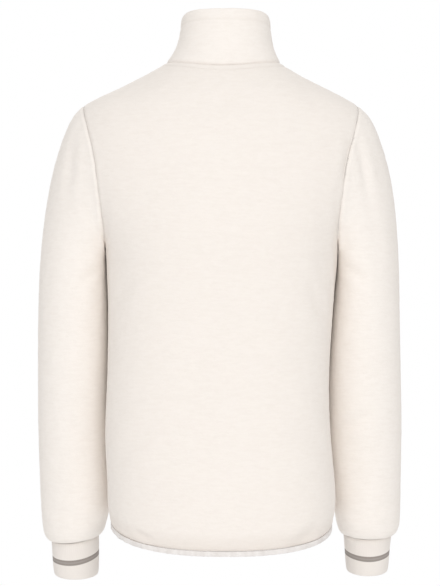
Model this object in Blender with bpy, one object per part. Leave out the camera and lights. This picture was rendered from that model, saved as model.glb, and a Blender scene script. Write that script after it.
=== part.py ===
# Fleece jacket with a stand collar, filled out as if worn, with its zip closed.
# +Z is up, the front faces -Y and the wearer's left is +X. The origin lies between the two
# shoulder points beside the neck. Sizes are in millimetres until a mesh is made, in metres.

import math

import bmesh
import bpy
import numpy as np
from mathutils import Matrix, Vector

MM = 0.001

# Driving sizes of the cloth
FLEECE = 3.0            # thickness of the pile fleece
COLLAR_CLOTH = 5.0      # the collar is two layers sewn together
CUFF_CLOTH = 2.6        # folded rib knit
SEAM_GAP = 0.3          # between two pieces at a seam
MITRE_MOST = 1.6        # how much thicker a wall may get where it turns into a seam

# Heights of the seams, from the shoulder points beside the neck
SHOULDER_TIP = -58.0
UNDERARM = -262.0
ARMHOLE_BACK = 72.0     # how far the armhole reaches behind and in front of the side seam
ARMHOLE_FRONT = 80.0
NECK_HALF = 81.0
NECK_BACK = 67.5
NECK_FRONT = 80.0

# The hem: lowest at the centre back, with an elastic binding that draws the cloth in
HEM_SIDE = -646.0
HEM_BACK_DROP = 28.6
HEM_TILT = 2.0          # the hem hangs this much lower at the right side, and higher at the left
HEM_FRONT_RISE = 0.75
BINDING_HEIGHT = 8.0
BINDING_CLOTH = 4.2
HEM_CURL = 6.0
HEM_CURL_HEIGHT = 15.0

# How the panels are divided
SHOULDER_PARTS = 5
NECK_PARTS = 7          # from the shoulder seam to the centre
ARMHOLE_PARTS = 12      # from the shoulder tip to the underarm
HALF_PARTS = SHOULDER_PARTS + NECK_PARTS
NECK_SAMPLES = 90       # points that a seam's even steps are measured along
CHEST_SAMPLES = 400
FRONT_SAMPLES = 40
SLEEVE_RINGS = 21
SLEEVE_FADE = 3.6       # rows of the sleeve table over which the armhole's shape fades
SLEEVE_CLEAR = 1.4      # between sleeve and side, where they hang against each other
CUFF_LENGTH = 55.1
PUCKER_PARTS = 3        # divisions of one pucker of the binding, one pucker a panel column
PUCKER_OUT = 0.8

# The closed front zip
ZIP_OPENING = 5.5       # from the centre line to the edge of each front
CHAIN_HALF = 3.0
CHAIN_DEPTHS = (0.6, 2.6)
BOX_HALF = 3.6
BOX_DEPTHS = (0.2, 3.0)
TAPE_CLOTH = 1.0
TAPE_HALF = 15.0
TAPE_DEPTH = 4.2        # behind the fronts
TAPE_DEPTH_COLLAR = 2.9
SLIDER_LENGTH = 10.0
SLIDER_HALF = 4.5
SLIDER_BELOW_TOP = 17.0
PULL_LENGTH = 27.0
PULL_HALF = 3.3
PULL_THICK = 1.5

# Sections of the torso: the middle, the half widths, and the depths of back, front and side
TORSO = np.array([
    # height, centre, left, right, back, front, side, roundness
    (14.0, -4.5, 64.0, 64.0, 56.0, -45.0, 0.0, 2.00),
    (0.0, -4.5, 81.0, 81.0, 63.0, -52.0, 0.0, 2.00),
    (-9.0, -3.5, 94.5, 95.5, 67.5, -56.0, 0.0, 2.00),
    (-20.0, -2.5, 114.5, 115.5, 75.0, -61.5, 0.0, 2.00),
    (-36.0, -2.0, 145.0, 148.5, 85.5, -69.5, 0.0, 2.00),
    (-58.0, -1.0, 191.0, 190.5, 97.0, -80.0, 0.0, 2.00),
    (-75.0, -1.0, 203.5, 205.0, 104.0, -91.0, 0.0, 2.02),
    (-110.0, -1.0, 212.0, 215.0, 114.5, -111.0, 1.0, 2.05),
    (-160.0, 0.0, 206.0, 208.0, 122.5, -131.0, 3.0, 2.10),
    (-210.0, 0.0, 184.0, 186.0, 126.0, -143.0, 5.0, 2.20),
    (-245.0, 0.0, 165.0, 168.0, 126.5, -147.5, 7.0, 2.30),
    (-268.0, 0.0, 158.3, 163.0, 126.0, -149.0, 9.0, 2.35),
    (-300.0, 0.0, 156.8, 161.0, 124.0, -149.0, 11.0, 2.35),
    (-360.0, 0.0, 155.6, 156.0, 119.5, -146.0, 12.0, 2.35),
    (-450.0, 0.0, 157.5, 151.5, 115.5, -141.0, 12.0, 2.35),
    (-520.0, 0.0, 160.5, 154.0, 117.0, -139.0, 12.0, 2.35),
    (-590.0, 0.0, 156.5, 160.5, 121.0, -140.0, 12.0, 2.35),
    (-625.0, 0.0, 157.5, 161.5, 122.0, -139.5, 12.0, 2.35),
    (-690.0, 0.0, 156.0, 160.0, 120.0, -136.0, 12.0, 2.30),
])

# Sections of the sleeves, from the armhole to the cuff seam
SLEEVE = np.array([
    # outer x left, right, outer z left, right, inner z left, right, mid y, back, front
    (190.0, 191.5, -58.0, -58.0, -262.0, -262.0, 0.0, 72.0, 80.0),
    (205.0, 210.0, -70.5, -73.0, -273.0, -273.0, -2.0, 68.0, 75.0),
    (225.0, 228.0, -116.0, -116.0, -285.0, -285.0, -5.0, 64.5, 70.0),
    (238.5, 241.5, -166.0, -166.0, -301.0, -301.0, -9.0, 61.5, 65.5),
    (248.0, 248.5, -222.0, -222.0, -325.0, -325.0, -13.0, 59.5, 62.5),
    (254.8, 252.8, -290.0, -290.0, -359.0, -359.0, -18.0, 58.0, 60.0),
    (257.5, 254.5, -370.0, -370.0, -405.0, -405.0, -25.0, 56.5, 57.5),
    (258.5, 257.0, -450.0, -450.0, -463.0, -463.0, -34.0, 54.5, 55.0),
    (258.8, 258.8, -520.0, -520.0, -522.0, -522.0, -44.0, 52.5, 52.5),
    (257.5, 258.5, -590.0, -590.0, -588.0, -588.0, -54.5, 50.5, 50.0),
    (255.5, 258.5, -642.0, -637.0, -637.0, -634.0, -62.0, 48.5, 47.5),
    (252.0, 255.8, -667.0, -659.0, -660.0, -659.0, -66.0, 44.5, 43.5),
    (242.6, 247.0, -674.2, -665.2, -665.8, -664.8, -67.5, 34.5, 34.0),
])
# The inner side of the sleeves hangs against the torso down to the row SLEEVE_LEAVES, and
# from there the two reach these places at the table's last rows
SLEEVE_LEAVES = 9
SLEEVE_INNER_LOW = ((160.0, 164.0), (165.5, 169.0), (174.0, 176.6))
FOREARM_LEAN = 10.0     # degrees that the forearm and its cuff lean forward

# Sections of the cuffs below the sleeve's last ring, as shares of their length
CUFF = np.array([
    # share, outer x left, right, inner x left, right, half depth
    (0.12, 241.6, 245.6, 173.4, 177.6, 33.8),
    (0.55, 241.2, 243.6, 173.8, 179.4, 33.2),
    (0.92, 239.8, 242.8, 174.2, 181.0, 32.6),
    (1.00, 238.8, 241.8, 175.0, 181.8, 31.8),
])

# The stand collar, from its seam to its top
COLLAR = np.array([
    # share of the height, flare that is left
    (0.00, 1.00),
    (0.10, 0.80),
    (0.22, 0.54),
    (0.38, 0.30),
    (0.58, 0.13),
    (0.80, 0.03),
    (0.965, 0.00),
])
COLLAR_TOP_CENTRE = -7.0
COLLAR_TOP_HALF = (62.0, 64.0)      # left and right of the centre
COLLAR_TOP_BACK = 57.5
COLLAR_TOP_FRONT = 71.0
COLLAR_TOP_SIDE_HEIGHT = 61.5
COLLAR_TOP_SWING = 21.0     # how much higher the back is than the side, before the dip
COLLAR_TOP_DIP = 12.5
COLLAR_CROWN = 0.30         # share of the cloth that stays flat on the top edge

# Soft folds: place, lean from upright as seen from behind, half length, half width, depth
TORSO_FOLDS = (
    # x, y, z, lean, long, wide, deep
    (138.0, 74.0, -292.0, -38.0, 38.0, 15.0, 2.2),
    (-141.0, 74.0, -288.0, 36.0, 42.0, 15.0, 2.4),
    (118.0, -104.0, -250.0, 24.0, 45.0, 17.0, 3.0),
    (-120.0, -104.0, -246.0, -28.0, 48.0, 17.0, 2.8),
    (96.0, -118.0, -560.0, 6.0, 60.0, 20.0, 2.2),
    (-88.0, -120.0, -548.0, -8.0, 66.0, 20.0, 2.4),
)
SLEEVE_FOLDS = (
    (211.0, 56.0, -152.0, -4.0, 34.0, 11.0, 2.2),
    (-196.0, 60.0, -160.0, 10.0, 40.0, 11.0, 2.8),
    (212.0, -80.0, -392.0, 74.0, 36.0, 13.0, 3.6),
    (198.0, -88.0, -432.0, 58.0, 34.0, 12.0, 3.0),
    (-210.0, -80.0, -398.0, -76.0, 38.0, 13.0, 3.8),
    (-222.0, -88.0, -440.0, -64.0, 30.0, 12.0, 2.8),
    (196.0, -2.0, -556.0, 62.0, 30.0, 14.0, 2.2),
    (-204.0, -2.0, -548.0, -66.0, 32.0, 14.0, 2.4),
    (226.0, -16.0, -612.0, 80.0, 26.0, 12.0, 1.8),
    (-198.0, -16.0, -606.0, -70.0, 28.0, 12.0, 2.0),
)

# name, colour, roughness, metallic
CLOTH_WHITE = ("cream fleece", (0.93, 0.89, 0.85), 0.95, 0.0)
KNIT_WHITE = ("rib knit", (0.86, 0.81, 0.76), 0.9, 0.0)
BINDING_WHITE = ("elastic binding", (0.86, 0.83, 0.80), 0.7, 0.0)
TAPE_WHITE = ("zip tape", (0.85, 0.81, 0.76), 0.85, 0.0)
METAL = ("brushed nickel", (0.62, 0.61, 0.60), 0.32, 1.0)


# Numbers along a table and along a line

def unit(vectors):
    return vectors / np.maximum(np.linalg.norm(vectors, axis=-1, keepdims=True), 1e-9)


def along(table, place):
    """Every other column of a table at places of its first, on a curve that never overshoots."""
    rows = table[np.argsort(table[:, 0])]
    knots = rows[:, 0]
    values = rows[:, 1:]
    steps = np.diff(knots)[:, None]
    slopes = np.diff(values, axis=0) / steps
    before, after = slopes[:-1], slopes[1:]
    product = before * after
    total = np.where(product > 0, before + after, 1.0)
    inside = np.where(product > 0, 2 * product / total, 0.0)
    rates = np.concatenate([slopes[:1], inside, slopes[-1:]])
    flat = np.clip(np.asarray(place, float), knots[0], knots[-1])
    low = np.clip(np.searchsorted(knots, flat) - 1, 0, len(knots) - 2)
    step = np.diff(knots)[low][..., None]
    t = (flat - knots[low])[..., None] / step
    return (
        values[low] * (1 + 2 * t) * (1 - t) ** 2
        + rates[low] * step * t * (1 - t) ** 2
        + values[low + 1] * t * t * (3 - 2 * t)
        + rates[low + 1] * step * t * t * (t - 1)
    )


def even_places(points, count):
    """Where count equal stretches of a line of points begin and end, as shares of its rows."""
    lengths = np.linalg.norm(np.diff(points, axis=0), axis=1)
    travelled = np.concatenate([[0], np.cumsum(lengths)])
    goals = np.linspace(0, travelled[-1], count + 1)
    return np.interp(goals, travelled, np.arange(len(points)))


# The torso's outer face

def torso_point(turn, height):
    """turn is 0 at the left side seam, a quarter turn at the centre back, minus that in front."""
    centre, left, right, back, front, side, rounding = np.moveaxis(along(TORSO, height), -1, 0)
    cos, sin = np.cos(turn), np.sin(turn)
    half = np.where(cos >= 0, left, right)
    deep = np.where(sin >= 0, back - side, side - front)
    x = centre + half * np.sign(cos) * np.abs(cos) ** (2 / rounding)
    y = side + deep * np.sign(sin) * np.abs(sin) ** (2 / rounding)
    return np.stack([x, y, np.broadcast_to(height, x.shape)], -1)


def torso_field(points):
    """Under 1 inside the torso, 1 on its face and more outside."""
    x, y, z = np.moveaxis(points, -1, 0)
    centre, left, right, back, front, side, rounding = np.moveaxis(along(TORSO, z), -1, 0)
    half = np.where(x >= centre, left, right)
    deep = np.where(y >= side, back - side, side - front)
    return (np.abs(x - centre) / half) ** rounding + (np.abs(y - side) / deep) ** rounding


def torso_normal(points):
    step = 0.5
    sides = []
    for axis in np.eye(3) * step:
        sides.append(torso_field(points + axis) - torso_field(points - axis))
    return unit(np.stack(sides, -1))


def torso_turn(x, y, height):
    """The turn of a point of the face, from its x and y."""
    centre, left, right, back, front, side, rounding = np.moveaxis(along(TORSO, height), -1, 0)
    half = np.where(x >= centre, left, right)
    deep = np.where(y >= side, back - side, side - front)
    across = np.sign(x - centre) * (np.abs(x - centre) / half) ** (rounding / 2)
    depth = np.sign(y - side) * (np.abs(y - side) / deep) ** (rounding / 2)
    return np.arctan2(depth, across)


def hem_height(turn):
    """Bottom of the binding."""
    sin = np.sin(turn)
    back = -HEM_BACK_DROP * sin
    front = -HEM_BACK_DROP * sin * (1 + HEM_FRONT_RISE * sin)
    return HEM_SIDE + HEM_TILT * np.cos(turn) + np.where(sin >= 0, back, front)


def torso_surface(turn, height):
    """Points and outward directions of the torso's cloth, drawn in above the binding."""
    points = torso_point(turn, height)
    normals = torso_normal(points)
    above = height - hem_height(turn) - BINDING_HEIGHT
    curl = HEM_CURL * np.exp(-((above / HEM_CURL_HEIGHT) ** 2))
    slope = -2 * above / HEM_CURL_HEIGHT ** 2 * curl
    level = unit(normals * np.array([1, 1, 0]))
    points = points - level * curl[..., None]
    tilt = np.stack([slope * 0, slope * 0, slope], -1)
    normals = unit(normals + tilt)
    return press(points, normals, TORSO_FOLDS), normals


def press(points, normals, folds):
    """Pushes the cloth in along soft troughs."""
    moved = points.copy()
    for x, y, z, lean, long, wide, deep in folds:
        line = np.array([math.sin(math.radians(lean)), 0, math.cos(math.radians(lean))])
        away = points - np.array([x, y, z])
        run = away @ line
        off = np.linalg.norm(away - run[..., None] * line, axis=-1)
        depth = deep * np.exp(-((run / long) ** 2) - (off / wide) ** 2)
        moved -= normals * depth[..., None]
    return moved


# Seams that several pieces share

def neckline(quarter):
    """Turn and height at equal steps from the shoulder point to the centre, +1 back or -1 front."""
    reach = NECK_BACK if quarter > 0 else NECK_FRONT
    end = math.pi / 2
    if quarter < 0:
        end = math.acos(ZIP_OPENING / NECK_HALF)
    angles = np.linspace(0, end, NECK_SAMPLES)
    rows = []
    for angle in angles:
        low, high = -70.0, 8.0
        for _ in range(40):
            middle = (low + high) / 2
            centre = along(TORSO, middle)[0]
            place = np.array([
                centre + NECK_HALF * math.cos(angle),
                quarter * reach * math.sin(angle),
                middle,
            ])
            if torso_field(place) > 1:
                high = middle
            else:
                low = middle
        rows.append(place)
    rows = np.array(rows)
    places = even_places(rows, NECK_PARTS)
    samples = np.arange(NECK_SAMPLES)
    rows = np.stack([np.interp(places, samples, rows[:, k]) for k in range(3)], -1)
    return torso_turn(rows[:, 0], rows[:, 1], rows[:, 2]), rows[:, 2]


def armhole(quarter):
    """Turn and height from the shoulder tip to the underarm, behind (+1) or in front (-1)."""
    swing = np.linspace(0, math.pi, ARMHOLE_PARTS + 1)
    middle = (SHOULDER_TIP + UNDERARM) / 2
    height = middle + (SHOULDER_TIP - UNDERARM) / 2 * np.cos(swing)
    reach = ARMHOLE_BACK if quarter > 0 else ARMHOLE_FRONT
    columns = along(TORSO, height)
    back, front, side, rounding = columns[:, 3], columns[:, 4], columns[:, 5], columns[:, 6]
    deep = back - side if quarter > 0 else side - front
    sin = (reach * np.abs(np.sin(swing)) / deep) ** (rounding / 2)
    return quarter * np.arcsin(np.clip(sin, 0, 1)), height


def shoulder():
    """Turn and height from the shoulder tip to the neck."""
    height = np.linspace(SHOULDER_TIP, 0, SHOULDER_PARTS + 1)
    return np.zeros(SHOULDER_PARTS + 1), height


def panel_net(quarter):
    """Turns and heights of the left half of the back (+1) or of the left front (-1): rows run
    down from the shoulder and neck to the hem, columns from the side to the centre."""
    neck_turn, neck_height = neckline(quarter)
    tip_turn, tip_height = shoulder()
    top = np.stack([
        np.concatenate([tip_turn, neck_turn[1:]]),
        np.concatenate([tip_height, neck_height[1:]]),
    ], -1)
    side = np.stack(armhole(quarter), -1)

    turns = quarter * np.linspace(0, math.pi / 2, CHEST_SAMPLES)
    line = torso_point(turns, np.full(CHEST_SAMPLES, UNDERARM))
    places = even_places(line, HALF_PARTS)
    low_turns = np.interp(places, np.arange(CHEST_SAMPLES), turns)
    bottom = np.stack([low_turns, np.full(HALF_PARTS + 1, UNDERARM)], -1)

    down = np.linspace(0, 1, ARMHOLE_PARTS + 1)[:, None, None]
    over = np.linspace(0, 1, HALF_PARTS + 1)[None, :, None]
    straight = (1 - down[:, 0]) * top[0] + down[:, 0] * bottom[0]
    shoulder_share = SHOULDER_PARTS / HALF_PARTS
    fade = np.clip((over - shoulder_share) / (1 - shoulder_share), 0, 1)
    hollow = (1 - fade * fade * (3 - 2 * fade)) * (side - straight)[:, None]
    upper = (1 - down) * top[None] + down * bottom[None] + hollow

    drops = np.array([0.07, 0.15, 0.24, 0.33, 0.42, 0.51, 0.60, 0.69, 0.78, 0.86, 0.92, 0.96, 1.0])
    edge = hem_height(low_turns) + BINDING_HEIGHT
    lower_height = UNDERARM + drops[:, None] * (edge - UNDERARM)
    lower_turn = np.broadcast_to(low_turns, lower_height.shape)
    lower = np.stack([lower_turn, lower_height], -1)
    net = np.concatenate([upper, lower])
    if quarter < 0:
        columns = along(TORSO, net[:, -1, 1])
        share = (ZIP_OPENING / columns[:, 1]) ** (columns[:, 6] / 2)
        net[:, -1, 0] = -np.arccos(share)
    return net


def mirror_net(net):
    """The same net in the right half, down to that half's hem."""
    other = net.copy()
    turn = np.where(net[..., 0] >= 0, math.pi - net[..., 0], -math.pi - net[..., 0])
    height = net[..., 1]
    share = (height - UNDERARM) / (height[-1] - UNDERARM)
    edge = hem_height(turn[-1]) + BINDING_HEIGHT
    other[..., 0] = turn
    other[..., 1] = np.where(share > 0, UNDERARM + share * (edge - UNDERARM), height)
    return other


# Sleeves

def sleeve_rows(side):
    """The columns of the sleeve table for one side (+1 left), along its rows."""
    pick = 0 if side > 0 else 1
    rows = np.arange(len(SLEEVE), dtype=float)
    outer_x = SLEEVE[:, pick]
    outer_z = SLEEVE[:, 2 + pick]
    inner_z = SLEEVE[:, 4 + pick]
    mid_y, back, front = SLEEVE[:, 6], SLEEVE[:, 7], SLEEVE[:, 8]
    inner_x = np.zeros(len(SLEEVE))
    for k in range(len(SLEEVE)):
        if k > SLEEVE_LEAVES:
            inner_x[k] = SLEEVE_INNER_LOW[k - SLEEVE_LEAVES - 1][pick]
            continue
        centre, left, right, behind, ahead, seam, rounding = along(TORSO, inner_z[k])
        half = left + centre if side > 0 else right - centre
        swing = np.linspace(-0.9, 0.9, 37) if k else np.zeros(1)
        y = mid_y[k] + np.sin(swing) * np.where(swing > 0, back[k], front[k])
        depth = np.where(y < seam, seam - ahead, behind - seam)
        torso_x = half * (1 - (np.abs(y - seam) / depth) ** rounding) ** (1 / rounding)
        recede = (1 - np.cos(swing)) * (outer_x[k] - half) / 2
        inner_x[k] = np.max(torso_x - recede) + SLEEVE_CLEAR * min(1, k)
    return np.stack([rows, outer_x, outer_z, inner_x, inner_z, mid_y, back, front], -1)


def sleeve_surface(side, loop, places, swings):
    """Points of a sleeve's outer face. loop holds the armhole's points at the swings."""
    columns = along(sleeve_rows(side), places)
    rings = []
    first = None
    for place, (out_x, out_z, in_x, in_z, mid_y, back, front) in zip(places, columns):
        outer = np.array([side * out_x, mid_y, out_z])
        inner = np.array([side * in_x, mid_y, in_z])
        lean = math.radians(FOREARM_LEAN) * min(1.0, max(0.0, (place - 2) / 6))
        depth_way = np.array([0, math.cos(lean), -math.sin(lean)])
        deep = np.where(np.sin(swings) >= 0, back, front)
        ring = (
            (outer + inner) / 2
            + np.cos(swings)[:, None] * (outer - inner) / 2
            + (np.sin(swings) * deep)[:, None] * depth_way
        )
        if first is None:
            first = loop - ring
        left_over = max(0.0, 1 - place / SLEEVE_FADE) ** 2
        rings.append(ring + first * left_over)
    return np.array(rings)


def net_normals(points, outward, closed):
    """Directions away from a net of points, turned to the side that outward names."""
    down = np.gradient(points, axis=0)
    if closed:
        over = (np.roll(points, -1, axis=1) - np.roll(points, 1, axis=1)) / 2
    else:
        over = np.gradient(points, axis=1)
    normals = unit(np.cross(down, over))
    facing = np.sum(normals * outward, axis=-1, keepdims=True)
    return np.where(facing.mean() >= 0, normals, -normals)


# Solids from nets

def seam_way(first, second, middle_way):
    """The direction through the cloth at a seam that two walls share, and its length factor."""
    way = unit(-first - second + middle_way)
    factor = 1 / np.maximum(np.sum(way * -first, axis=-1, keepdims=True), 1 / MITRE_MOST)
    return way * factor


def retreat(outer, inner, line, next_line):
    """Draws an edge of a wall back from its seam by half the gap."""
    edge = outer[line]
    run = unit(np.gradient(edge, axis=0))
    away = outer[next_line] - edge
    away = away - np.sum(away * run, axis=-1, keepdims=True) * run
    step = unit(away) * SEAM_GAP / 2
    outer[line] = edge + step
    inner[line] = inner[line] + step


def add_object(name, mesh, material):
    label, colour, roughness, metallic = material
    thing = bpy.data.objects.new(name, mesh)
    bpy.context.collection.objects.link(thing)
    look = bpy.data.materials.get(label) or bpy.data.materials.new(label)
    look.use_nodes = True
    shader = look.node_tree.nodes["Principled BSDF"]
    shader.inputs["Base Color"].default_value = (*colour, 1.0)
    shader.inputs["Roughness"].default_value = roughness
    shader.inputs["Metallic"].default_value = metallic
    mesh.materials.append(look)
    return thing


def wall(name, outer, inner, material, closed=False):
    """A closed wall from the nets of its two faces, whose columns meet again when closed."""
    rows, columns = outer.shape[:2]
    bm = bmesh.new()
    faces = []
    for net in (outer, inner):
        verts = [[bm.verts.new(Vector(point) * MM) for point in row] for row in net.tolist()]
        faces.append(verts)
    front, behind = faces
    spans = columns if closed else columns - 1
    for k in range(rows - 1):
        for j in range(spans):
            n = (j + 1) % columns
            bm.faces.new((front[k][j], front[k][n], front[k + 1][n], front[k + 1][j]))
            bm.faces.new((behind[k][j], behind[k + 1][j], behind[k + 1][n], behind[k][n]))
    for k in (0, rows - 1):
        for j in range(spans):
            n = (j + 1) % columns
            bm.faces.new((front[k][j], front[k][n], behind[k][n], behind[k][j]))
    if not closed:
        for j in (0, columns - 1):
            for k in range(rows - 1):
                bm.faces.new((front[k][j], front[k + 1][j], behind[k + 1][j], behind[k][j]))
    bmesh.ops.recalc_face_normals(bm, faces=bm.faces)
    bmesh.ops.triangulate(bm, faces=bm.faces, quad_method="SHORT_EDGE")
    mesh = bpy.data.meshes.new(name)
    bm.to_mesh(mesh)
    bm.free()
    mesh.shade_smooth()
    return add_object(name, mesh, material)


# The pieces

def armhole_points(side, swings):
    """The armhole's points at the swings, which run from the shoulder tip round the back."""
    points = []
    for swing in swings:
        quarter = 1 if math.sin(swing) >= -1e-9 else -1
        turns, heights = armhole(quarter)
        folded = swing if swing <= math.pi + 1e-9 else 2 * math.pi - swing
        k = round(folded / math.pi * ARMHOLE_PARTS)
        turn = turns[k] if side > 0 else math.pi * quarter - turns[k]
        points.append(torso_surface(np.array([turn]), np.array([heights[k]]))[0][0])
    return np.array(points)


def make_sleeve(side, name):
    """Makes a sleeve and returns the way through the cloth at its armhole, and its last ring."""
    count = 2 * ARMHOLE_PARTS
    swings = np.arange(count) * math.pi / ARMHOLE_PARTS
    loop = armhole_points(side, swings)
    last = len(SLEEVE) - 1
    places = np.linspace(0, last, SLEEVE_RINGS)
    outer = sleeve_surface(side, loop, places, swings)
    middles = outer.mean(axis=1, keepdims=True)
    normals = net_normals(outer, outer - middles, True)
    faded = np.clip(places / 1.5, 0, 1) * np.clip(last - places, 0, 1)
    outer = outer + (press(outer, normals, SLEEVE_FOLDS) - outer) * faded[:, None, None]

    torso_ways = torso_normal(loop)
    centre_way = unit(loop.mean(axis=0) - loop)
    ways = seam_way(torso_ways, normals[0], 0.5 * centre_way)
    inner = outer - normals * FLEECE
    inner[0] = outer[0] + ways * FLEECE
    level = unit((outer[-1].mean(axis=0) - outer[-1]) * np.array([1, 1, 0]))
    end_ways = seam_way(normals[-1], -level, 0 * level)
    inner[-1] = outer[-1] + end_ways * FLEECE
    last_ring = outer[-1].copy()
    for line, beside in ((0, 1), (-1, -2)):
        step = unit(outer[beside] - outer[line]) * SEAM_GAP / 2
        outer[line] += step
        inner[line] += step
    wall(name, outer, inner, CLOTH_WHITE, closed=True)
    return ways, last_ring


def make_cuff(side, name, ring):
    """The rib cuff hangs from the sleeve's last ring, leaning forward as the forearm does."""
    pick = 0 if side > 0 else 1
    lean = math.radians(FOREARM_LEAN)
    down = np.array([0, -math.sin(lean), -math.cos(lean)])
    depth_way = np.array([0, math.cos(lean), -math.sin(lean)])
    count = len(ring)
    swings = np.arange(count) * 2 * math.pi / count
    top = ring.mean(axis=0)
    rings = [ring]
    for share, *places, deep in CUFF:
        outer_x, inner_x = places[pick], places[2 + pick]
        middle = np.array([side * (outer_x + inner_x) / 2, top[1], top[2]])
        middle += down * CUFF_LENGTH * share
        half = side * (outer_x - inner_x) / 2
        slope = (ring[0, 2] - ring[count // 2, 2]) / 2 * (1 - share)
        offsets = (
            np.cos(swings)[:, None] * np.array([half, 0, slope])
            + np.sin(swings)[:, None] * deep * depth_way
        )
        rings.append(middle + offsets)
    outer = np.array(rings)
    level = unit(outer.mean(axis=1, keepdims=True) - outer)
    inner = outer + level * CUFF_CLOTH
    round_off = level[-1] * CUFF_CLOTH * 0.25
    outer[-1] += round_off
    inner[-1] -= round_off
    step = unit(outer[1] - outer[0]) * SEAM_GAP / 2
    outer[0] += step
    inner[0] += step
    wall(name, outer, inner, KNIT_WHITE, closed=True)


def collar_net(columns_turn, columns_height):
    """The collar's outer face over the neckline's points, which run from the left front round."""
    base = torso_point(columns_turn, columns_height)
    centre = along(TORSO, columns_height)[:, 0]
    across = (base[:, 0] - centre) / NECK_HALF
    angle = np.arctan2(
        base[:, 1] / np.where(base[:, 1] >= 0, NECK_BACK, NECK_FRONT), across
    )
    depth = np.where(np.sin(angle) >= 0, COLLAR_TOP_BACK, COLLAR_TOP_FRONT)
    sin = np.sin(angle)
    half = np.where(np.cos(angle) >= 0, *COLLAR_TOP_HALF)
    top_x = COLLAR_TOP_CENTRE + half * np.cos(angle)
    near_zip = np.abs(sin + 1) < 0.005
    top_x = np.where(near_zip, COLLAR_TOP_CENTRE + np.sign(np.cos(angle)) * ZIP_OPENING, top_x)
    top = np.stack([
        top_x,
        depth * sin,
        COLLAR_TOP_SIDE_HEIGHT + COLLAR_TOP_SWING * sin - COLLAR_TOP_DIP * sin ** 2,
    ], -1)
    rows = []
    for share, flare in COLLAR:
        level = base + (top - base) * np.array([1 - flare, 1 - flare, share])
        level[:, 0] = np.where(
            near_zip, base[:, 0] + (top[:, 0] - base[:, 0]) * share, level[:, 0]
        )
        rows.append(level)
    return np.array(rows), top


def make_collar(net_turns, net_heights):
    """Makes the stand collar and returns the way through the cloth along the neckline."""
    outer, top = collar_net(net_turns, net_heights)
    base = outer[0]
    middle = outer.mean(axis=1, keepdims=True)
    normals = net_normals(outer, outer - middle, False)
    for column in (0, -1):
        normals[:, column, 0] = 0
    normals = unit(normals)
    torso_ways = torso_normal(base)
    for column in (0, -1):
        torso_ways[column, 0] = 0
    ways = seam_way(torso_ways, normals[0], 0 * normals[0])
    inner = outer - normals * COLLAR_CLOTH
    inner[0] = base + ways * COLLAR_CLOTH
    crown = (outer[-1] + inner[-1]) / 2
    crown[:, 2] = top[:, 2]
    lift = (outer[-1] - inner[-1]) / 2 * COLLAR_CROWN
    outer = np.concatenate([outer, [crown + lift]])
    inner = np.concatenate([inner, [crown - lift]])
    retreat(outer, inner, 0, 1)
    wall("collar", outer, inner, CLOTH_WHITE)
    return ways


def panel(name, net, seam_ways, retreats):
    """A fleece panel over its net, with its own ways through the cloth at given points."""
    outer, normals = torso_surface(net[..., 0], net[..., 1])
    inner = outer - normals * FLEECE
    for (row, column), way in seam_ways.items():
        inner[row, column] = outer[row, column] + way * FLEECE
    for line, beside in retreats:
        retreat(outer, inner, line, beside)
    wall(name, outer, inner, CLOTH_WHITE)


def make_panels(neck_ways, left_ways, right_ways):
    """Back and fronts. The ways through the cloth come from the collar and the sleeves."""
    every = slice(None)
    back_left = panel_net(1)
    back = np.concatenate([back_left, mirror_net(back_left)[:, -2::-1]], axis=1)
    columns = back.shape[1]
    ways = {}
    middle = len(neck_ways) // 2
    for k in range(2 * NECK_PARTS + 1):
        ways[(0, SHOULDER_PARTS + k)] = neck_ways[middle - NECK_PARTS + k]
    for k in range(ARMHOLE_PARTS + 1):
        ways[(k, 0)] = left_ways[k]
        ways[(k, columns - 1)] = right_ways[k]
    panel("back", back, ways, (
        ((0, every), (1, every)),
        ((every, 0), (every, 1)),
        ((every, -1), (every, -2)),
        ((-1, every), (-2, every)),
    ))

    front = panel_net(-1)
    count = 2 * ARMHOLE_PARTS
    for name, net, arm_ways, side in (
        ("front_left", front, left_ways, 1),
        ("front_right", mirror_net(front), right_ways, -1),
    ):
        ways = {}
        for k in range(NECK_PARTS + 1):
            place = NECK_PARTS - k if side > 0 else len(neck_ways) - 1 - NECK_PARTS + k
            ways[(0, SHOULDER_PARTS + k)] = neck_ways[place]
        for k in range(ARMHOLE_PARTS + 1):
            ways[(k, 0)] = arm_ways[-k % count]
        panel(name, net, ways, (
            ((0, every), (1, every)),
            ((every, 0), (every, 1)),
            ((-1, every), (-2, every)),
        ))


def make_binding():
    """The elastic binding of the hem, puckered, from one edge of the zip to the other."""
    front = panel_net(-1)[-1, :, 0]
    back = panel_net(1)[-1, :, 0]
    half = np.concatenate([front[::-1], back[1:]])
    whole = np.concatenate([half, (math.pi - half[:-1])[::-1]])
    steps = np.arange((len(whole) - 1) * PUCKER_PARTS + 1)
    turns = np.interp(steps / PUCKER_PARTS, np.arange(len(whole)), whole)
    edge = hem_height(turns) + BINDING_HEIGHT
    points, normals = torso_surface(turns, edge)
    level = unit(normals * np.array([1, 1, 0]))
    wave = np.where(steps % PUCKER_PARTS == 0, 1.0, -0.5)
    strength = 0.7 + 0.3 * np.sin(steps * 1.7)
    wave = (wave * strength)[:, None]
    rows = (
        # share of the height, how far out, share of the pucker
        (0.0, 0.0, 0.0),
        (0.5, 0.9, 1.0),
        (0.9, 0.2, 0.6),
    )
    outer, inner = [], []
    for share, out, pucker in rows:
        drop = np.array([0, 0, -share * BINDING_HEIGHT - SEAM_GAP * (1 - share)])
        outer.append(points + drop + level * (out + PUCKER_OUT * pucker * wave))
        inner.append(points + drop - level * (BINDING_CLOTH - 0.6 * share))
    wall("hem_binding", np.array(outer), np.array(inner), BINDING_WHITE)


# The zip

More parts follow.
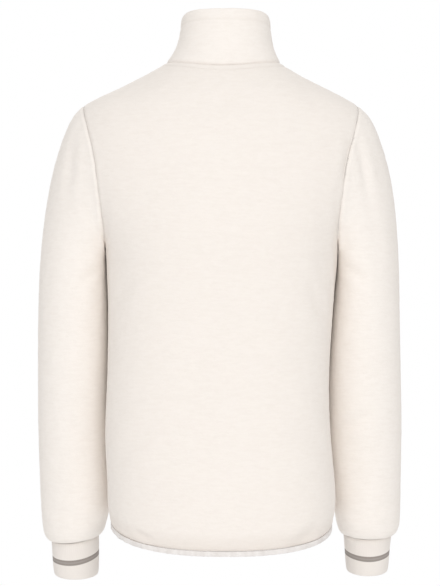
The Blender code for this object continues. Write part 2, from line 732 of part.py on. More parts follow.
def centre_front():
    """The centre front line from the collar's top to the hem, with the way into the cloth."""
    seam_turn, seam_height = neckline(-1)
    turns = np.concatenate([seam_turn[-1:], -math.pi - seam_turn[-1:]])
    net, top = collar_net(turns, np.repeat(seam_height[-1:], 2))
    collar = np.concatenate([net.mean(axis=1), top.mean(axis=0, keepdims=True)])[::-1]
    low = hem_height(np.array(-math.pi / 2)) + BINDING_HEIGHT
    heights = np.linspace(seam_height[-1], low, FRONT_SAMPLES)[1:]
    body = torso_surface(np.full(len(heights), -math.pi / 2), heights)[0]
    line = np.concatenate([collar, body])
    run = unit(np.gradient(line, axis=0))
    into = unit(np.cross(run, np.array([-1.0, 0, 0])))
    into = np.where(into[:, 1:2] < 0, -into, into)
    return line, into


def strip(name, line, into, side, inner_edge, outer_edge, near, far, material):
    """A strip beside the centre line. Its edges and depths are one number a station."""
    faces = []
    for depth in (near, far):
        rows = []
        for edge in (inner_edge, outer_edge):
            shift = np.stack([side * edge, edge * 0, edge * 0], -1)
            rows.append(line + shift + into * depth[:, None])
        faces.append(np.array(rows))
    wall(name, faces[0], faces[1], material)


def travelled(line):
    return np.concatenate([[0], np.cumsum(np.linalg.norm(np.diff(line, axis=0), axis=1))])


def resample(line, into, places):
    run = travelled(line)
    spots = np.stack([np.interp(places, run, line[:, k]) for k in range(3)], -1)
    ways = np.stack([np.interp(places, run, into[:, k]) for k in range(3)], -1)
    return spots, unit(ways)


def make_zip():
    """Tapes, rows of teeth, the bottom box and the slider with its pull."""
    line, into = centre_front()
    length = travelled(line)[-1]
    seam = travelled(line)[len(COLLAR)]
    slider_top = SLIDER_BELOW_TOP - SLIDER_LENGTH / 2
    slider_low = SLIDER_BELOW_TOP + SLIDER_LENGTH / 2
    half_gap = SEAM_GAP / 2
    places = np.array([
        1.5, slider_top - 1.5, slider_top - 0.8, slider_low + 0.8, slider_low + 1.5, 45.0,
        70.0, seam + 2.0, seam + 14.0,
        *np.linspace(seam + 40.0, length - 1.0, 16),
    ])
    spots, ways = resample(line, into, places)
    at_slider = (places > slider_top - 1.0) & (places < slider_low + 1.0)
    inner_edge = np.where(at_slider, 1.6, half_gap)
    in_body = np.clip((places - seam - 2.0) / 12.0, 0, 1)
    outer_edge = ZIP_OPENING - SEAM_GAP - 0.1 + (TAPE_HALF - ZIP_OPENING) * in_body
    sunk = np.clip((places - seam + 20.0) / 22.0, 0, 1)
    near = TAPE_DEPTH_COLLAR + (TAPE_DEPTH - TAPE_DEPTH_COLLAR) * sunk

    chain_places = np.concatenate([[slider_low + 0.4], places[5:-1], [length - 9.0]])
    chain_spots, chain_ways = resample(line, into, chain_places)
    ones = np.ones(len(chain_places))
    for side, word in ((1, "left"), (-1, "right")):
        strip(f"zip_tape_{word}", spots, ways, side, inner_edge, outer_edge,
              near, near + TAPE_CLOTH, TAPE_WHITE)
        strip(f"zip_teeth_{word}", chain_spots, chain_ways, side, ones * half_gap,
              ones * CHAIN_HALF, ones * CHAIN_DEPTHS[0], ones * CHAIN_DEPTHS[1], METAL)

    box_places = np.array([length - 8.6, length - 1.6])
    box_spots, box_ways = resample(line, into, box_places)
    block = []
    for depth in BOX_DEPTHS:
        half = np.array([BOX_HALF, 0, 0])
        block.append(np.array([box_spots + side * half + box_ways * depth for side in (1, -1)]))
    wall("zip_box", block[0], block[1], METAL)
    make_slider(line, into)


def block_mesh(size, centre):
    """A box, in metres."""
    bm = bmesh.new()
    bmesh.ops.create_cube(bm, size=1.0)
    bmesh.ops.scale(bm, vec=Vector(size) * MM, verts=bm.verts)
    bmesh.ops.translate(bm, vec=Vector(centre) * MM, verts=bm.verts)
    return bm


def union(target, blocks):
    """Joins boxes to an object with exact Booleans."""
    for size, centre in blocks:
        bm = block_mesh(size, centre)
        mesh = bpy.data.meshes.new("cutter")
        bm.to_mesh(mesh)
        bm.free()
        tool = bpy.data.objects.new("union_tool", mesh)
        bpy.context.collection.objects.link(tool)
        tool.parent = target
        tool.hide_render = True
        tool.display_type = "WIRE"
        joint = target.modifiers.new("union", "BOOLEAN")
        joint.operation = "UNION"
        joint.object = tool


def make_slider(line, into):
    """The slider at the collar, with its bail, and the pull that hangs from it.
    In the slider's own axes -Y is out of the cloth and +Z is up along the zip."""
    spot, way = resample(line, into, np.array([SLIDER_BELOW_TOP]))
    up_spots = resample(line, into, np.array([SLIDER_BELOW_TOP - 4, SLIDER_BELOW_TOP + 4]))[0]
    up = Vector(up_spots[0] - up_spots[1]).normalized()
    deep = Vector(way[0])
    deep = (deep - deep.dot(up) * up).normalized()
    across = deep.cross(up).normalized()
    turn = Matrix((across, deep, up)).transposed()
    frame = Matrix.Translation(Vector(spot[0]) * MM) @ turn.to_4x4()

    plate, web_half, back_near, back_far = 1.4, 1.1, 4.4, 5.6
    front_near = CHAIN_DEPTHS[0] - SEAM_GAP - plate
    bm = block_mesh(
        (2 * SLIDER_HALF, plate, SLIDER_LENGTH), (0, front_near + plate / 2, 0)
    )
    bmesh.ops.bevel(
        bm, geom=bm.edges[:], offset=0.35 * MM, segments=1, affect="EDGES",
    )
    mesh = bpy.data.meshes.new("zip_slider")
    bm.to_mesh(mesh)
    bm.free()
    slider = add_object("zip_slider", mesh, METAL)
    slider.matrix_world = frame
    web_deep = back_far - front_near - plate / 2
    bail_reach, bail_bar, bail_half = 4.4, 1.2, 1.0
    legs = SLIDER_LENGTH / 2 - 0.9
    union(slider, (
        ((2 * web_half, web_deep, SLIDER_LENGTH - 1.0), (0, back_far - 0.1 - web_deep / 2, 0)),
        ((2 * SLIDER_HALF - 1.0, back_far - back_near, SLIDER_LENGTH - 0.8),
         (0, (back_far + back_near) / 2, 0)),
        ((2 * bail_half, bail_reach, 1.2), (0, front_near + 0.3 - bail_reach / 2, legs)),
        ((2 * bail_half, bail_reach, 1.2), (0, front_near + 0.3 - bail_reach / 2, -legs)),
        ((2 * bail_half, bail_bar, 2 * legs + 1.0),
         (0, front_near + 0.3 - bail_reach + bail_bar / 2, 0)),
    ))

    hinge = front_near - 1.45
    pull = add_object("zip_pull", pull_mesh(), METAL)
    pull.matrix_world = frame @ Matrix.Translation(Vector((0, hinge, 0)) * MM)


def pull_mesh():
    """A flat pull with an eye at its top. Its hinge is the bar above the eye."""
    bar = 0.75
    outline, eye = [], []
    corners = (
        # x, z, of the outside, then of the eye
        (-PULL_HALF + 0.9, bar, -1.7, -bar), (PULL_HALF - 0.9, bar, 1.7, -bar),
        (PULL_HALF, bar - 0.9, 2.1, -bar - 0.4), (PULL_HALF, -6.0, 2.1, -5.9),
        (PULL_HALF + 0.5, -12.0, 1.7, -6.4), (PULL_HALF + 0.5, -PULL_LENGTH + 3.0, 0.9, -6.5),
        (PULL_HALF - 1.0, -PULL_LENGTH + 0.8, 0.5, -6.5), (0.8, -PULL_LENGTH, 0.2, -6.5),
        (-0.8, -PULL_LENGTH, -0.2, -6.5), (-PULL_HALF + 1.0, -PULL_LENGTH + 0.8, -0.5, -6.5),
        (-PULL_HALF - 0.5, -PULL_LENGTH + 3.0, -0.9, -6.5), (-PULL_HALF - 0.5, -12.0, -1.7, -6.4),
        (-PULL_HALF, -6.0, -2.1, -5.9), (-PULL_HALF, bar - 0.9, -2.1, -bar - 0.4),
    )
    for x, z, eye_x, eye_z in corners:
        outline.append((x, z))
        eye.append((eye_x, eye_z))
    bm = bmesh.new()
    rings = []
    for depth in (-PULL_THICK / 2, PULL_THICK / 2):
        for ring in (outline, eye):
            rings.append([bm.verts.new(Vector((x, depth, z)) * MM) for x, z in ring])
    near_out, near_eye, far_out, far_eye = rings
    count = len(corners)
    for k in range(count):
        n = (k + 1) % count
        bm.faces.new((near_out[k], near_out[n], near_eye[n], near_eye[k]))
        bm.faces.new((far_out[k], far_eye[k], far_eye[n], far_out[n]))
        bm.faces.new((near_out[k], far_out[k], far_out[n], near_out[n]))
        bm.faces.new((near_eye[k], near_eye[n], far_eye[n], far_eye[k]))
    bmesh.ops.recalc_face_normals(bm, faces=bm.faces)
    mesh = bpy.data.meshes.new("zip_pull")
    bm.to_mesh(mesh)
    bm.free()
    return mesh


def main():
    for thing in list(bpy.data.objects):
        bpy.data.objects.remove(thing, do_unlink=True)
    left_ways, left_ring = make_sleeve(1, "sleeve_left")
    right_ways, right_ring = make_sleeve(-1, "sleeve_right")
    make_cuff(1, "cuff_left", left_ring)
    make_cuff(-1, "cuff_right", right_ring)

    front_turn, front_height = neckline(-1)
    back_turn, back_height = neckline(1)
    half_turn = np.concatenate([front_turn[::-1], back_turn[1:]])
    half_height = np.concatenate([front_height[::-1], back_height[1:]])
    turns = np.concatenate([half_turn, (math.pi - half_turn[:-1])[::-1]])
    heights = np.concatenate([half_height, half_height[:-1][::-1]])
    neck_ways = make_collar(turns, heights)

    make_panels(neck_ways, left_ways, right_ways)
    make_binding()
    make_zip()


main()
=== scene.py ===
import math

import bmesh
import bpy
import numpy as np
from mathutils import Matrix, Vector, noise
from mathutils.bvhtree import BVHTree
from mathutils.kdtree import KDTree


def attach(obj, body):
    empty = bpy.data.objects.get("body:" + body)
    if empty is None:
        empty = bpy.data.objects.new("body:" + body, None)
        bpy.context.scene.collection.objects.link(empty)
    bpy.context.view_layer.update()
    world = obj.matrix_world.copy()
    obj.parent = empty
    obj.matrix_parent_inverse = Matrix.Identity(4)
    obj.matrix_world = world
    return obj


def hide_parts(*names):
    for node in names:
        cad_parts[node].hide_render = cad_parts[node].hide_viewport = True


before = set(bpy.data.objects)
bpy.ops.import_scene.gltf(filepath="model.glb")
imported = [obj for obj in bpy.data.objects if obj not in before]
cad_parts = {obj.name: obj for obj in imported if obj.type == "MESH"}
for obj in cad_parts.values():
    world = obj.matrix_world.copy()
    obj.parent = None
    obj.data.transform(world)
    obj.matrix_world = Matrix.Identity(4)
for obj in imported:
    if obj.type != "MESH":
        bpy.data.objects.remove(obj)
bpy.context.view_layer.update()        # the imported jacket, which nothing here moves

mm = 0.001


# Materials

class Wire:
    # one output of a node, so that shader maths is written as plain expressions
    def __init__(self, finish, socket):
        self.finish = finish
        self.socket = socket

    def maths(self, operation, *values):
        return self.finish.node("ShaderNodeMath", {"operation": operation}, dict(enumerate(values)))

    def __add__(self, other):
        return self.maths("ADD", self, other)

    def __radd__(self, other):
        return self.maths("ADD", other, self)

    def __sub__(self, other):
        return self.maths("SUBTRACT", self, other)

    def __rsub__(self, other):
        return self.maths("SUBTRACT", other, self)

    def __mul__(self, other):
        return self.maths("MULTIPLY", self, other)

    def __rmul__(self, other):
        return self.maths("MULTIPLY", other, self)

    def __truediv__(self, other):
        return self.maths("DIVIDE", self, other)


class Finish:
    # a Principled material that is being put together, or the studio's sky
    def __init__(self, name, world=None):
        self.material = world or bpy.data.materials.new(name)
        self.material.use_nodes = True
        self.tree = self.material.node_tree
        self.shader = self.tree.nodes.get("Principled BSDF")

    def node(self, kind, settings=None, inputs=None, output=0):
        made = self.tree.nodes.new(kind)
        for key, value in (settings or {}).items():
            setattr(made, key, value)
        for key, value in (inputs or {}).items():
            self.feed(made.inputs[key], value)
        return Wire(self, made.outputs[output])

    def feed(self, socket, value):
        if isinstance(value, Wire):
            self.tree.links.new(value.socket, socket)
        else:
            socket.default_value = value

    def place(self, scale=(1, 1, 1)):
        # Object coordinates in millimetres, divided by the pattern's size each way
        coordinates = self.node("ShaderNodeTexCoord", output="Object")
        grow = tuple(1 / (mm * size) for size in scale)
        return self.node("ShaderNodeVectorMath", {"operation": "MULTIPLY"}, {0: coordinates, 1: grow})

    def uvPlace(self, scale=(1, 1, 1)):
        # the same for the piece's own UV map, which is in metres along and down the cloth
        coordinates = self.node("ShaderNodeUVMap", {"uv_map": "cloth"})
        grow = tuple(1 / (mm * size) for size in scale)
        return self.node("ShaderNodeVectorMath", {"operation": "MULTIPLY"}, {0: coordinates, 1: grow})

    def noise(self, vector, scale=1.0, detail=2.0, roughness=0.5, distortion=0.0):
        inputs = {
            "Vector": vector, "Scale": scale, "Detail": detail,
            "Roughness": roughness, "Distortion": distortion,
        }
        return self.node("ShaderNodeTexNoise", {"noise_dimensions": "3D"}, inputs)

    def read(self, attribute):
        return self.node("ShaderNodeAttribute", {"attribute_name": attribute}, output="Fac")

    def axes(self, vector):
        split = self.node("ShaderNodeSeparateXYZ", {}, {0: vector}).socket.node
        return [Wire(self, output) for output in split.outputs]

    def swing(self, turns, operation="SINE"):
        # a wave between 0 and 1 that comes round once with each whole turn
        angle = turns * (2 * math.pi)
        return angle.maths(operation, angle) * 0.5 + 0.5

    def spread(self, value, low, high):
        # takes low to 0 and high to 1, and keeps between them
        inputs = {"Value": value, "From Min": low, "From Max": high}
        return self.node("ShaderNodeMapRange", {"clamp": True}, inputs)

    def mix(self, factor, first, second):
        # the colour sockets of a Mix node are its inputs 6 and 7 and its output 2
        ends = [(*end, 1) if isinstance(end, tuple) else end for end in (first, second)]
        inputs = {0: factor, 6: ends[0], 7: ends[1]}
        return self.node("ShaderNodeMix", {"data_type": "RGBA"}, inputs, output=2)

    def bump(self, height, strength, distance):
        inputs = {"Height": height, "Strength": strength, "Distance": distance * mm}
        self.feed(self.shader.inputs["Normal"], self.node("ShaderNodeBump", {}, inputs))

    def set(self, **values):
        words = {"colour": "Base Color", "sheen": "Sheen Weight", "sheenRough": "Sheen Roughness",
                 "sheenTint": "Sheen Tint", "specular": "Specular IOR Level"}
        for key, value in values.items():
            socket = self.shader.inputs[words.get(key, key.capitalize())]
            if isinstance(value, tuple):
                value = (*value, 1)
            self.feed(socket, value)


fleeceLook = {
    "light": (0.893, 0.840, 0.788),
    "deep": (0.856, 0.798, 0.743),
    "seam": (0.600, 0.515, 0.450),      # where the pile lies parted along a seam, and painted shade in the seam's hollow, under the turned-in hem and in topstitching grooves
    "streakSize": (15.0, 15.0, 3.6),    # wide and low, as the rows of the pile lie
    "napSize": (1.3, 1.3, 0.9),
    "clumpSize": (6.0, 6.0, 4.0),
    "cloudSize": (70.0, 70.0, 55.0),
    "bumpStrength": 0.40,
    "bumpDistance": 1.1,
    "sheen": 0.24,
    "sheenTint": (0.98, 0.95, 0.91),
}


def makeFleece():
    look = fleeceLook
    cloth = Finish("cream pile fleece")
    streak = cloth.noise(cloth.place(look["streakSize"]), 1.0, 3.0, 0.55, 0.4)
    nap = cloth.noise(cloth.place(look["napSize"]), 1.0, 2.0, 0.6)
    clump = cloth.noise(cloth.place(look["clumpSize"]), 1.0, 2.0, 0.5, 0.6)
    cloud = cloth.noise(cloth.place(look["cloudSize"]), 1.0, 2.0)
    height = streak * 0.45 + clump * 0.30 + nap * 0.42
    shade = cloth.spread(streak * 0.5 + clump * 0.25 + nap * 0.25, 0.34, 0.62)
    tone = cloth.spread(shade * 0.8 + cloud * 0.35, 0.05, 0.85)
    pile = cloth.mix(tone, look["deep"], look["light"])
    cloth.set(
        # the seam attribute mixes in the seam colour: parted pile, and painted shade at seams, along
        # the hem and in topstitching grooves
        colour=cloth.mix(cloth.read("seam"), pile, look["seam"]),
        roughness=0.98 - shade * 0.06, sheen=look["sheen"], sheenRough=0.6,
        sheenTint=look["sheenTint"], specular=0.15,
    )
    cloth.bump(height, look["bumpStrength"], look["bumpDistance"])
    return cloth.material


fleeceBackLook = {
    "light": (0.82, 0.76, 0.70),
    "deep": (0.72, 0.66, 0.60),
    "rowSize": (4.4, 4.4, 4.4),
    "fuzzSize": (1.1, 1.1, 0.9),
}


def makeFleeceBack():
    # the knit side of the fleece, inside the jacket
    look = fleeceBackLook
    cloth = Finish("fleece back")
    row = cloth.node("ShaderNodeTexWave", {"bands_direction": "Z", "wave_profile": "SIN"}, {
        "Vector": cloth.place(look["rowSize"]), "Scale": 1.0, "Distortion": 1.6,
        "Detail": 2.0, "Detail Scale": 2.2,
    })
    fuzz = cloth.noise(cloth.place(look["fuzzSize"]), 1.0, 2.0)
    height = row * 0.5 + fuzz * 0.6
    tone = cloth.spread(height, 0.2, 0.9)
    cloth.set(
        colour=cloth.mix(tone, look["deep"], look["light"]),
        roughness=0.97 - tone * 0.05, sheen=0.1, sheenRough=0.6, specular=0.15,
    )
    cloth.bump(height, 0.5, 0.7)
    return cloth.material


knitLook = {
    "light": (0.900, 0.848, 0.798),
    "deep": (0.815, 0.757, 0.705),
    "stripe": (0.400, 0.358, 0.328),
    "stripeDeep": (0.315, 0.280, 0.255),
    "stripeFrom": 25.2,     # millimetres below the cuff's seam
    "stripeTo": 32.9,
    "stripeBlur": 0.25,     # of its edges
    "row": 1.5,
    "wale": 2.3,
    "wobbleSize": (9.0, 9.0, 9.0),
    "fuzzSize": (0.7, 0.7, 0.7),
}


def makeKnit():
    look = knitLook
    cloth = Finish("rib knit with a stripe")
    across, down = cloth.axes(cloth.uvPlace())[:2]
    wobble = cloth.noise(cloth.uvPlace(look["wobbleSize"]), 1.0, 2.0) * 0.5
    rowWave = cloth.swing(down / look["row"] + wobble)
    waleWave = cloth.swing(across / look["wale"], "COSINE")
    fuzz = cloth.noise(cloth.uvPlace(look["fuzzSize"]), 1.0, 2.0)
    height = rowWave * (0.45 + waleWave * 0.2) + fuzz * 0.35
    tone = cloth.spread(height + waleWave * 0.08, 0.1, 1.05)
    plain = cloth.mix(tone, look["deep"], look["light"])
    middle = 0.5 * (look["stripeFrom"] + look["stripeTo"])
    half = 0.5 * (look["stripeTo"] - look["stripeFrom"])
    offset = down.maths("ABSOLUTE", down - middle)
    inStripe = cloth.spread(offset, half + look["stripeBlur"], half - look["stripeBlur"])
    lightLine = cloth.spread(offset, 1.6, 0.6) * 0.7
    stripeTone = cloth.spread(tone * 0.6 + lightLine, 0.1, 1.2)
    stripe = cloth.mix(stripeTone, look["stripeDeep"], look["stripe"])
    cloth.set(
        colour=cloth.mix(inStripe, plain, stripe),
        roughness=0.93 - tone * 0.08, sheen=0.12, sheenRough=0.5, specular=0.2,
    )
    cloth.bump(height, 0.7, 0.45)
    return cloth.material


elasticLook = {
    "light": (0.86, 0.825, 0.800),
    "deep": (0.71, 0.665, 0.635),
    "rib": 1.15,
    "pick": 0.9,
    "fuzzSize": (1.2, 1.2, 1.2),
    "puckerSize": (13.0, 60.0, 1.0),    # painted light and shade of the gathers, as bright and dark spots along the gathered edge
}


def makeElastic():
    # woven elastic: fine ribs across its width
    look = elasticLook
    cloth = Finish("elastic binding")
    across, down = cloth.axes(cloth.uvPlace())[:2]
    ribWave = cloth.swing(down / look["rib"])
    pickWave = cloth.swing(across / look["pick"])
    fuzz = cloth.noise(cloth.uvPlace(look["fuzzSize"]), 1.0, 2.0)
    gatherShade = cloth.noise(cloth.uvPlace(look["puckerSize"]), 1.0, 1.0)
    height = ribWave * 0.5 + pickWave * 0.25 + fuzz * 0.3
    # the gathers' light and shade are painted into the colour here
    tone = cloth.spread(height + cloth.spread(gatherShade, 0.35, 0.65) * 0.7, 0.2, 1.5)
    cloth.set(
        colour=cloth.mix(tone, look["deep"], look["light"]),
        roughness=0.66 + fuzz * 0.2, sheen=0.1, sheenRough=0.4, specular=0.35,
    )
    cloth.bump(height, 0.6, 0.3)
    return cloth.material


tapeLook = {
    "light": (0.82, 0.77, 0.71),
    "deep": (0.70, 0.64, 0.58),
    "herringbone": 1.6,
    "twill": 0.8,
    "fuzzSize": (0.8, 0.8, 0.8),
}


def makeTape():
    # herringbone zip tape
    look = tapeLook
    cloth = Finish("zip tape")
    across, up = cloth.axes(cloth.place())[::2]
    zigzag = across.maths("PINGPONG", across, look["herringbone"])
    twillWave = cloth.swing(up / look["twill"] + zigzag)
    fuzz = cloth.noise(cloth.place(look["fuzzSize"]), 1.0, 2.0)
    tone = cloth.spread(twillWave * 0.6 + fuzz * 0.5, 0.2, 0.9)
    cloth.set(
        colour=cloth.mix(tone, look["deep"], look["light"]),
        roughness=0.85 - tone * 0.1, specular=0.25,
    )
    cloth.bump(twillWave * 0.6 + fuzz * 0.4, 0.5, 0.25)
    return cloth.material


threadLook = {
    "light": (0.86, 0.81, 0.755),
    "deep": (0.76, 0.71, 0.655),
    "plySize": (2.2, 2.2, 2.2),
}


def makeThread():
    look = threadLook
    cloth = Finish("sewing thread")
    ply = cloth.node("ShaderNodeTexWave", {"bands_direction": "DIAGONAL"}, {
        "Vector": cloth.place(look["plySize"]), "Scale": 1.0, "Distortion": 0.6,
    })
    cloth.set(
        colour=cloth.mix(ply, look["deep"], look["light"]),
        roughness=0.6 + ply * 0.15, sheen=0.05, specular=0.35,
    )
    cloth.bump(ply, 0.4, 0.12)
    return cloth.material


metalLooks = {
    "nickel plate": {"light": (0.50, 0.49, 0.48), "deep": (0.38, 0.37, 0.36), "rough": 0.36},
    "zip teeth": {"light": (0.62, 0.61, 0.59), "deep": (0.44, 0.43, 0.42), "rough": 0.36},
}


def makeMetal(name):
    # plated metal, with fine brushing and a little handling wear
    look = metalLooks[name]
    metal = Finish(name)
    brushed = metal.noise(metal.place((0.25, 0.25, 5.0)), 1.0, 3.0)
    smudge = metal.noise(metal.place((3.5, 3.5, 3.5)), 1.0, 3.0, 0.6)
    tone = metal.spread(brushed * 0.6 + smudge * 0.4, 0.3, 0.7)
    metal.set(
        colour=metal.mix(tone, look["deep"], look["light"]),
        roughness=look["rough"] + smudge * 0.18 + brushed * 0.06, metallic=1.0,
    )
    metal.bump(brushed * 0.5 + smudge * 0.3, 0.12, 0.08)
    return metal.material


fleece = makeFleece()
fleeceBack = makeFleeceBack()
knit = makeKnit()
elastic = makeElastic()
tape = makeTape()
thread = makeThread()
nickel = makeMetal("nickel plate")
toothMetal = makeMetal("zip teeth")
print("materials made")


# Cloth from the solids: each is a copy of its node's wall, made smooth and then creased

outerFace, innerFace, rimFace = 0, 1, 2     # material slots of a wall's faces
clothWall = {
    "mergeWithin": 0.03,        # millimetres
    "cornerAngle": 35,          # degrees, above which an edge of the rim stays sharp
    "seamWithin": 4.2,          # how near another piece is, in millimetres, where the two are sewn
    "seamReach": 26.0,          # how far from a seam the cloth still feels it
}

clothNodes = (
    "back", "front_left", "front_right", "sleeve_left", "sleeve_right", "collar",
    "cuff_left", "cuff_right", "hem_binding",
)
trees = {}
for clothName in clothNodes:
    grid = bmesh.new()
    grid.from_mesh(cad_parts[clothName].data)
    trees[clothName] = BVHTree.FromBMesh(grid)
    grid.free()


def everywhere(place):
    return True


def cleanWall(nodeName, sharpWhere=everywhere, crease=1.0):
    # merges a copy of the node, puts its quads back, and sorts faces into outer, inner and rim
    grid = bmesh.new()
    grid.from_mesh(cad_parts[nodeName].data)
    bmesh.ops.remove_doubles(grid, verts=grid.verts, dist=clothWall["mergeWithin"] * mm)
    bmesh.ops.join_triangles(
        grid, faces=grid.faces, angle_face_threshold=0.7, angle_shape_threshold=1.0,
    )
    grid.normal_update()
    ways = {}
    for vert in grid.verts:
        ways[vert] = sum((face.normal * face.calc_area() for face in vert.link_faces), Vector())
    rim = set()
    for edge in grid.edges:     # through the cloth, from one face to the other
        first, second = edge.verts
        if ways[first].dot(ways[second]) < 0:
            rim.update(edge.link_faces)
    islands = []
    left = set(grid.faces) - rim
    while left:
        island = [left.pop()]
        for face in island:
            for edge in face.edges:
                for other in edge.link_faces:
                    if other in left:
                        left.discard(other)
                        island.append(other)
        islands.append(island)
    islands.sort(key=lambda island: -sum(face.calc_area() for face in island))
    for face in grid.faces:
        face.material_index = rimFace
        face.smooth = True
    for kind, island in enumerate(islands[:2]):
        for face in island:
            face.material_index = kind
    creases = grid.edges.layers.float.new("crease_edge")
    for edge in grid.edges:
        kinds = {face.material_index for face in edge.link_faces}
        corner = kinds == {rimFace} and edge.calc_face_angle(0) > math.radians(clothWall["cornerAngle"])
        middle = (edge.verts[0].co + edge.verts[1].co) / 2
        if (len(kinds) > 1 or corner) and sharpWhere(middle):
            edge[creases] = crease
    sizes = [round(sum(face.calc_area() for face in island) * 1e4) for island in islands]
    print(nodeName, "faces", len(grid.faces), "rim", len(rim), "cm2", sizes)
    return grid


def smoothObject(name, grid, materials, levels):
    mesh = bpy.data.meshes.new(name)
    grid.to_mesh(mesh)
    grid.free()
    piece = bpy.data.objects.new(name, mesh)
    bpy.context.scene.collection.objects.link(piece)
    for material in materials:
        mesh.materials.append(material)
    bpy.ops.object.select_all(action="DESELECT")
    piece.select_set(True)
    bpy.context.view_layer.objects.active = piece
    smooth = piece.modifiers.new("smooth", "SUBSURF")
    smooth.levels = smooth.render_levels = levels
    smooth.boundary_smooth = "PRESERVE_CORNERS"
    bpy.ops.object.modifier_apply(modifier="smooth")
    return piece


def refineOuter(piece):
    # halves the outer face's edges once more
    grid = bmesh.new()
    grid.from_mesh(piece.data)
    edges = [
        edge for edge in grid.edges
        if any(face.material_index == outerFace for face in edge.link_faces)
    ]
    bmesh.ops.subdivide_edges(grid, edges=edges, cuts=1, use_grid_fill=True)
    many = [face for face in grid.faces if len(face.verts) > 4]
    bmesh.ops.triangulate(grid, faces=many)
    grid.to_mesh(piece.data)
    grid.free()


def readAll(items, field, width=1, kind=float):
    # one field of all vertices, edges, faces or corners of a mesh as an array
    values = np.zeros(len(items) * width, kind)
    items.foreach_get(field, values)
    return values if width == 1 else values.reshape(-1, width)


def cornersOf(mesh):
    # each face corner's vertex, and the face that it belongs to
    totals = readAll(mesh.polygons, "loop_total", kind=int)
    return readAll(mesh.loops, "vertex_index", kind=int), np.repeat(np.arange(len(totals)), totals)


class Surface:
    # the points of a piece as arrays, with the way out of its cloth and its seams
    def __init__(self, piece, reach=clothWall["seamReach"]):
        mesh = piece.data
        self.reach = reach * mm
        self.piece = piece
        self.points = readAll(mesh.vertices, "co", 3)
        self.rest = self.points.copy()
        kinds = readAll(mesh.polygons, "material_index", kind=int)
        corners, owners = cornersOf(mesh)
        areas = readAll(mesh.polygons, "area")
        weighted = readAll(mesh.polygons, "normal", 3) * areas[:, None]
        touches = []
        ways = np.zeros_like(self.points)
        for kind in (outerFace, innerFace, rimFace):
            chosen = kinds[owners] == kind
            touched = np.zeros(len(self.points), bool)
            touched[corners[chosen]] = True
            touches.append(touched)
            if kind != rimFace:
                sign = 1 if kind == outerFace else -1
                mine = np.zeros_like(self.points)
                np.add.at(mine, corners[chosen], sign * weighted[owners[chosen]])
                lengths = np.linalg.norm(mine, axis=1, keepdims=True)
                ways = np.where(touched[:, None], mine / np.maximum(lengths, 1e-12), ways)
        self.outer, self.rim = touches[outerFace], touches[rimFace]
        self.ways = ways
        self.edges = readAll(mesh.edges, "vertices", 2, int)
        self.findSeams()

    def findSeams(self):
        # the nearest other cloth node says which seam a border point belongs to
        border = np.nonzero(self.outer & self.rim)[0]
        self.seams = {}
        self.lines = []
        own = self.piece.name.replace("_cloth", "")
        for index in border:
            place = Vector(self.points[index])
            best, nearest = "free", clothWall["seamWithin"] * mm
            for other, tree in trees.items():
                if other == own:
                    continue
                hit = tree.find_nearest(place, nearest)
                if hit[0] is not None and hit[3] < nearest:
                    best, nearest = other, hit[3]
            self.seams.setdefault(best, []).append(index)
        self.away = {}
        for other, indices in self.seams.items():
            self.away[other] = self.distanceTo(self.rest[indices], self.reach)

    def distanceTo(self, places, most):
        # every point's distance to the places, or the most if it is farther
        tree = KDTree(len(places))
        for index, place in enumerate(places):
            tree.insert(place, index)
        tree.balance()
        low, high = places.min(axis=0) - most, places.max(axis=0) + most
        near = np.all((self.rest > low) & (self.rest < high), axis=1)
        distances = np.full(len(self.rest), most)
        for index in np.nonzero(near)[0]:
            distances[index] = min(most, tree.find(self.rest[index])[2])
        return distances

    def push(self, depths):
        # moves outer and inner points into the cloth, or out where depths are negative
        self.points -= self.ways * depths[:, None]

    def markSeams(self):
        # tells the material how dark to paint a point: the pile parted at a seam, with painted shade in
        # the seam's hollow, under the turned-in hem and in topstitching grooves
        tone = np.zeros(len(self.points))
        for other, distance in self.away.items():
            strong, wide = seamPartingAndShade.get(other, seamPartingAndShade["other"])
            tone = np.maximum(tone, strong * hump(distance, wide))
            strong, wide = seamShadows.get(other, (0, 1))
            tone += strong * hump(distance, wide)
        for distance in self.lines:
            tone += topstitch["tone"] * hump(distance, topstitch["toneWide"])
        layer = self.piece.data.attributes.new("seam", "FLOAT", "POINT")
        layer.data.foreach_set("value", tone)

    def store(self):
        self.piece.data.vertices.foreach_set("co", self.points.ravel())
        self.piece.data.update()


